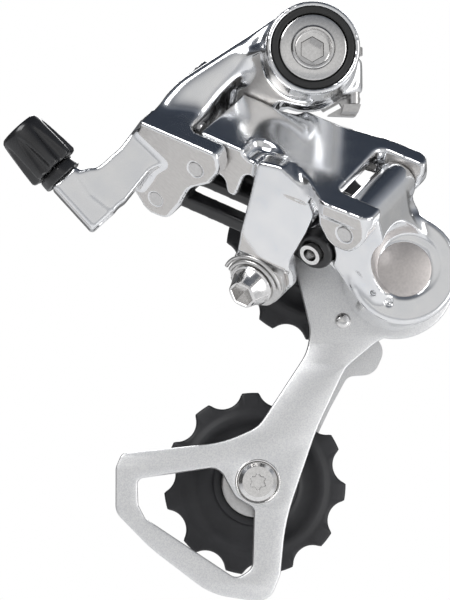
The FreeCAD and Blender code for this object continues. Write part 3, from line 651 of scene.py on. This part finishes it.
def mounting_knuckle():
    """Its arm is polished more than the rest, into one smooth face."""
    clay = Clay("b_knuckle", 1.6, 0.45)

    def worn(point):
        arm = ease(link_place(point)[2], 5.5, 9.0) * ease(-point.y, 4.0, 7.0)
        return arm * ease(math.hypot(point.x, point.z), 11.8, 15.5)
    piece = clay.piece("mounting_knuckle_forging", FORGED, soft=worn, soft_steps=260)
    stand_for(piece, "b_knuckle", "mounting_knuckle")


def outer_link():
    """The face of its cable arm is ground to two facets that meet at a slanting crease."""
    clay = Clay("outer_link", 1.5, 0.45)
    first, last = (link_point(*end) for end in CREASE)
    face = (ACROSS * WEDGE_FALL[0] + PIN * WEDGE_FALL[1]).normalized()
    facet = Matrix.Rotation(math.radians(FACET_TILT), 3, last - first) @ face
    ground = np.maximum(-clay.along(facet, first), clay.along(ALONG, link_point(ARM_END_U, 0, 0)))
    clay.cut(np.maximum(ground, -clay.along(ACROSS, link_point(0, ARM_TOP_V, 0))), 0.25)

    def worn(point):
        u, v, w = link_place(point)
        top = ease(w, 20.0, 25.0) * ease(-v, 1.0, 5.0) * ease(u, 2.0, 8.0)
        rim = ease(w, 8.0, 9.5) * (1 - ease(w, 13.0, 15.0)) * ease(-v, 1.5, 3.0) * ease(u, 4.0, 7.0)
        return max(top * ease(36.0 - u, 0.0, 4.0), rim * ease(30.0 - u, 0.0, 3.0))
    piece = clay.piece("outer_link_forging", FORGED, soft=worn, soft_steps=40)
    stand_for(piece, "outer_link", "outer_link")


def cage_knuckle():
    pivot = joint_point("cage_pivot") / MM
    clay = Clay("p_knuckle", 3.0, 0.8, voxel=0.25)
    bowl = clay.ball(Vector((pivot.x, BOWL_DEPTH, pivot.z)) + Vector(BOWL_CENTRE), BOWL_R)
    clay.cut(np.maximum(bowl, clay.along((0, 1, 0), (0, BOWL_DEPTH, 0))), 0.4)
    clay.cut(clay.rod(*SPANNER_SLOT, 1.0), 0.5)
    for x, z in DIMPLES:
        clay.cut(clay.ball((x, -15.2, z), 0.9), 0.3)
    piece = clay.piece("cage_knuckle_forging", MIRROR, smoothing=6)
    stand_for(piece, "p_knuckle", "cage_knuckle")


def inner_link():
    clay = Clay("inner_link", 0.9, 0.5)
    stand_for(clay.piece("inner_link_forging", PAINT), "inner_link", "inner_link")


# ---- fasteners ------------------------------------------------------------------------------
def hanger_bolt():
    head = [(0, 15.6), (2.5, 15.6, hexagon), (2.5, 19.3, hexagon), (2.65, 19.5, hexagon),
            (3.9, 19.6), (4.05, 19.9), (4.1, 22.0), (4.3, 22.3), (4.7, 22.35), (4.95, 22.15),
            (5.15, 21.85), (5.4, 21.8), (7.2, 21.8), (7.6, 21.65), (7.85, 21.3), (7.9, 20.9),
            (7.9, 18.8), (5.6, 18.8), (5.6, 3.6), (5.0, 3.6), (5.0, 2.8), (5.6, 2.8), (5.6, 0.2),
            (5.3, 0.0), (0, 0.0)]
    parts = [turned(head, HANGER), screw_thread(5.0, 1.0, -9.0, 0.3, HANGER)]
    piece = sharpen(join_parts("hanger_bolt_turned", parts, BRIGHT), 28)
    stand_for(piece, "hanger_bolt", "hanger_mount")


def hanger_seal():
    profile = [(8.05, 20.0), (8.05, 21.9), (8.2, 22.05), (8.5, 22.12), (9.1, 22.1), (9.35, 22.0),
               (9.48, 21.8), (9.48, 20.0)]
    piece = join_parts("hanger_seal_ring", [turned(profile, HANGER)], RUBBER)
    stand_for(sharpen(piece), "hanger_seal", "mounting_knuckle")


def clamp_bolt():
    matrix = LINK @ Matrix.Translation(Vector((CLAMP_U, CLAMP_V, 0)) * MM)
    matrix = matrix @ Matrix.Rotation(math.pi, 4, "X")
    ribs = lobes(6, 0.035)
    rings = [(0, 1.3), (2.5, 1.3, hexagon), (2.5, 4.8, hexagon), (2.6, 5.0, hexagon),
             (3.25, 5.0, ribs), (3.5, 4.75, ribs), (3.85, 3.6, ribs), (4.65, 1.3, ribs), (4.8, 0.95),
             (5.15, 0.85), (5.25, 0.7), (5.25, 0.05), (2.5, 0.0), (2.5, -5.6), (2.2, -5.8),
             (0, -5.8)]
    piece = join_parts("clamp_bolt_turned", [turned(rings, matrix)], BRIGHT)
    stand_for(sharpen(piece, 25), "cable_clamp_bolt", "outer_link")


def clamp_plate():
    """Pressed plate with a raised lip that follows the cable's groove round the bolt."""
    outline = rounded([(12.6, 18.9, 1.2), (25.4, 18.9, 2), (26.4, 24.0, 5), (22.6, 30.0, 4),
                       (13.6, 30.0, 4), (11.8, 24.0, 3)], 1.0, 4)
    plate = extrude(outline, 0.1, 1.7, LINK)
    parts = [plate]
    for radius, height, thick in ((6.2, -0.25, 0.55), (7.5, -0.1, 0.45)):
        parts.append(arc_rod(radius, math.radians(195), math.radians(345), height, thick))
    piece = sharpen(join_parts("clamp_plate_pressed", parts, STEEL), 40)
    stand_for(bevelled(piece, 0.25), "cable_clamp_plate", "outer_link")


def arc_rod(radius, start, end, height, thick, steps=30, sides=12):
    """Round wire bent about the clamp bolt's axis, flush with the plate."""
    verts = []
    faces = []
    for i in range(steps + 1):
        angle = start + (end - start) * i / steps
        for k in range(sides):
            turn = 2 * math.pi * k / sides
            own = radius + thick * math.cos(turn)
            local = Vector((CLAMP_U + own * math.cos(angle), CLAMP_V + own * math.sin(angle),
                            height + thick * math.sin(turn)))
            verts.append(LINK @ (local * MM))
    for i in range(steps):
        for k in range(sides):
            m = (k + 1) % sides
            faces.append([i * sides + k, i * sides + m, (i + 1) * sides + m, (i + 1) * sides + k])
    faces.append(list(range(sides)))
    faces.append([steps * sides + k for k in range(sides)])
    return verts, faces


def cage_stop_rivet():
    low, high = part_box("cage_stop_pin")
    centre = (low + high) / 2
    matrix = frame_at(Vector((centre.x, 0, centre.z)), OUTBOARD)
    rings = [(0, -1.95), (0.8, -2.0), (1.4, -2.2), (1.8, -2.6), (1.9, -3.0), (1.5, -3.0),
             (1.5, -5.8), (0, -5.9)]
    piece = join_parts("cage_stop_rivet", [turned(rings, matrix, 48)], BRIGHT)
    stand_for(sharpen(piece), "cage_stop_pin", "cage")


def pivot_cap():
    pivot = joint_point("cage_pivot")
    matrix = frame_at(Vector((pivot.x, 0, pivot.z)), OUTBOARD)
    rings = [(0, 14.9), (6.1, 14.9), (6.4, 14.75), (6.5, 14.4), (6.5, 13.9), (0, 13.9)]
    piece = join_parts("pivot_cap_disc", [turned(rings, matrix)], CAP)
    stand_for(sharpen(piece, 50), "pivot_cap", "cage_knuckle")


# ---- barrel adjuster ------------------------------------------------------------------------
def adjuster_knob():
    """Ribs stand up from it, with grooves that widen and deepen towards the frame side."""
    def ring(radius, height, width, depth):
        return radius, height, grooves(KNOB_RIBS, width, depth)
    rings = [(3.6, -3.2), ring(5.6, -3.2, 0.70, 0.12), ring(6.1, -3.0, 0.72, 0.17),
             ring(6.4, -2.5, 0.72, 0.20), ring(6.3, -0.8, 0.68, 0.19), ring(6.15, 1.0, 0.60, 0.17),
             ring(5.95, 3.0, 0.50, 0.14), ring(5.75, 5.0, 0.36, 0.10), ring(5.6, 6.4, 0.20, 0.05),
             (5.5, 7.2), (5.4, 8.0), (5.15, 8.9), (4.7, 9.35), (4.2, 9.4), (4.0, 9.1), (4.0, -2.8),
             (3.6, -2.8)]
    piece = join_parts("adjuster_knob_moulded", [turned(rings, ADJUST, KNOB_RIBS * 24)], GLOSS)
    stand_for(sharpen(piece, 40), "adjuster_knob", "adjuster_knob")


def adjuster_collar():
    wavy = lobes(KNOB_RIBS, 0.05)
    rings = [(3.6, -6.2), (4.6, -6.2), (4.85, -6.0), (4.9, -5.6), (4.9, -4.6, wavy),
             (4.8, -3.8, wavy), (4.5, -3.5, wavy), (3.6, -3.5)]
    piece = join_parts("adjuster_collar_moulded", [turned(rings, ADJUST)], GLOSS)
    stand_for(sharpen(piece, 40), "adjuster_collar", "mounting_knuckle")


# ---- pulleys --------------------------------------------------------------------------------
def toothed(angle):
    """Scale that cuts round valleys into a rim of radius TIP_R."""
    centre = ROOT_R + VALLEY_R
    pitch = 2 * math.pi / TEETH
    off = (angle % pitch) - pitch / 2
    room = VALLEY_R ** 2 - (centre * math.sin(off)) ** 2
    if room <= 0:
        return 1.0
    return min(1.0, (centre * math.cos(off) - math.sqrt(room)) / TIP_R)


def pulley(name, first_tooth):
    """Moulded jockey wheel: dished web, ribbed hub rim and teeth that thin towards their tips."""
    centre = joint_point(name + "_spin")
    matrix = frame_at(centre, OUTBOARD, Vector((1, 0, 0)))
    matrix = matrix @ Matrix.Rotation(math.radians(first_tooth), 4, "Z")
    side = [(8.4, 2.0), (8.45, 2.75), (8.7, 2.8), (9.6, 2.8), (9.9, 2.65), (10.0, 2.2), (10.4, 1.75),
            (11.4, 1.4), (12.8, 1.25), (14.2, 1.5), (15.0, 1.85), (15.8, 1.95), (16.6, 1.75),
            (17.4, 1.35), (18.1, 1.2), (20.9, 1.15, toothed), (21.3, 0.95, toothed),
            (21.5, 0.7, toothed)]
    back = [(ring[0], -ring[1]) + tuple(ring[2:]) for ring in reversed(side)]
    rings = [(4.95, 2.0)] + side + back + [(4.95, -2.0)]
    piece = join_parts(name + "_moulded", [turned(rings, matrix, TEETH * 32)], RESIN)
    stand_for(sharpen(piece, 32), name, name)


def pulley_hardware(prefix, head):
    """Dust caps and the bolt, whose head stands at the given height outboard of y = 0."""
    centre = joint_point(prefix + "_pulley_spin")
    matrix = frame_at(Vector((centre.x, 0, centre.z)), OUTBOARD)
    middle_height = -centre.y / MM
    caps = []
    for sign in (1, -1):
        rings = [(4.9, 2.5), (8.0, 2.5), (8.0, 2.9), (7.7, 3.25), (7.0, 3.4), (6.0, 3.5), (4.9, 3.5)]
        place = matrix @ Matrix.Translation(Vector((0, 0, middle_height * MM)))
        if sign < 0:
            place = place @ Matrix.Rotation(math.pi, 4, "X")
        caps.append(turned(rings, place))
    piece = join_parts(prefix + "_dust_caps_pressed", caps, STEEL)
    stand_for(sharpen(piece, 30), prefix + "_pulley_dust_caps", "cage")

    star = lobes(6, 0.28)
    back = -19.0
    rings = [(0, head - 1.5), (1.9, head - 1.5, star), (1.9, head - 0.12, star),
             (2.05, head, star), (3.6, head), (3.72, head - 0.12), (4.4, head - 0.55),
             (4.65, head - 0.8), (4.68, head - 1.85), (2.45, head - 1.9), (2.45, back + 0.4),
             (2.1, back), (0, back)]
    piece = join_parts(prefix + "_pulley_bolt_turned", [turned(rings, matrix)], BRIGHT)
    stand_for(sharpen(piece, 22), prefix + "_pulley_bolt", "cage")


# ---- cage plate -----------------------------------------------------------------------------
def drum_rim():
    """Round end of the plate under the cage knuckle, from its foot up to its top."""
    pivot = joint_point("cage_pivot") / MM
    start = math.radians(DRUM_RIM_FROM)
    end = math.radians(DRUM_RIM_TO)
    return [(pivot.x + DRUM_RIM * math.cos(start + (end - start) * k / 40),
             pivot.z + DRUM_RIM * math.sin(start + (end - start) * k / 40), 0) for k in range(41)]


def circle(x, z, radius, steps=48):
    return [(x + radius * math.cos(2 * math.pi * k / steps),
             z + radius * math.sin(2 * math.pi * k / steps)) for k in range(steps)]


def cage_outer_plate():
    """Stamped plate: bevelled all round and round its window, and joggled outboard low down."""
    curve = bpy.data.curves.new("cage_plate_outline", "CURVE")
    curve.dimensions = "2D"
    curve.fill_mode = "BOTH"
    curve.extrude = (PLATE_THICK / 2 - PLATE_BEVEL) * MM
    curve.bevel_depth = PLATE_BEVEL * MM
    curve.bevel_resolution = 1
    curve.offset = -PLATE_BEVEL * MM
    tension = joint_point("tension_pulley_spin") / MM
    edge = rounded(PLATE_EDGE + drum_rim() + PLATE_TOP, 0.6, 6)
    for loop in (edge, rounded(WINDOW, 1.0, 6), circle(tension.x, tension.z, 5.0)):
        spline = curve.splines.new("POLY")
        spline.points.add(len(loop) - 1)
        for point, (x, z) in zip(spline.points, loop):
            point.co = (x * MM, z * MM, 0, 1)
        spline.use_cyclic_u = True
    source = bpy.data.objects.new("cage_plate_outline", curve)
    mesh = bpy.data.meshes.new_from_object(source)
    built = bmesh.new()
    built.from_mesh(mesh)
    bmesh.ops.remove_doubles(built, verts=built.verts, dist=1e-6)
    for level in (JOG_TOP_Z, (JOG_TOP_Z + JOG_BOTTOM_Z) / 2, JOG_BOTTOM_Z):
        geometry = built.verts[:] + built.edges[:] + built.faces[:]
        bmesh.ops.bisect_plane(built, geom=geometry, plane_co=(0, level * MM, 0),
                               plane_no=(0, 1, 0))
    for vertex in built.verts:
        x, z, out = vertex.co / MM
        low = 1 - min(1.0, max(0.0, (z - JOG_BOTTOM_Z) / (JOG_TOP_Z - JOG_BOTTOM_Z)))
        y = PLATE_UPPER_Y + PLATE_THICK / 2 - PLATE_JOG * low - out
        vertex.co = Vector((x, y, z)) * MM
    bmesh.ops.recalc_face_normals(built, faces=built.faces)
    for face in built.faces:
        face.smooth = True
    built.to_mesh(mesh)
    built.free()
    mesh.materials.clear()
    mesh.materials.append(BLASTED)
    piece = bpy.data.objects.new("cage_plate_stamped", mesh)
    bpy.context.scene.collection.objects.link(piece)
    seat = [(2.5, -2.4), (4.75, -2.4), (4.75, -1.35), (4.95, -1.0), (5.3, -0.98), (5.3, -3.25),
            (2.5, -3.25)]
    matrix = frame_at(Vector((tension.x * MM, 0, tension.z * MM)), OUTBOARD)
    ring = join_parts("tension_bolt_seat", [turned(seat, matrix)], BRIGHT)
    ring.parent = piece
    stand_for(sharpen(piece, 25), "cage_outer_plate", "cage")


studio_camera()
studio_world()
studio_floor()
area_light("key", (-0.6, -0.7, 0.7), (0.6, 0.6), 6.0)
area_light("fill", (0.8, -0.6, -0.1), (0.5, 0.9), 3.0)
area_light("rim", (0.2, 0.9, 0.5), (0.8, 0.4), 4.0)
bpy.context.scene.view_settings.view_transform = "Standard"
finish_cad_nodes()
mounting_knuckle()
outer_link()
cage_knuckle()
inner_link()
hanger_bolt()
hanger_seal()
clamp_bolt()
clamp_plate()
cage_stop_rivet()
pivot_cap()
adjuster_knob()
adjuster_collar()
pulley("guide_pulley", 170.2)
pulley("tension_pulley", 92.9)
pulley_hardware("guide", -1.1)
pulley_hardware("tension", -0.5)
cage_outer_plate()
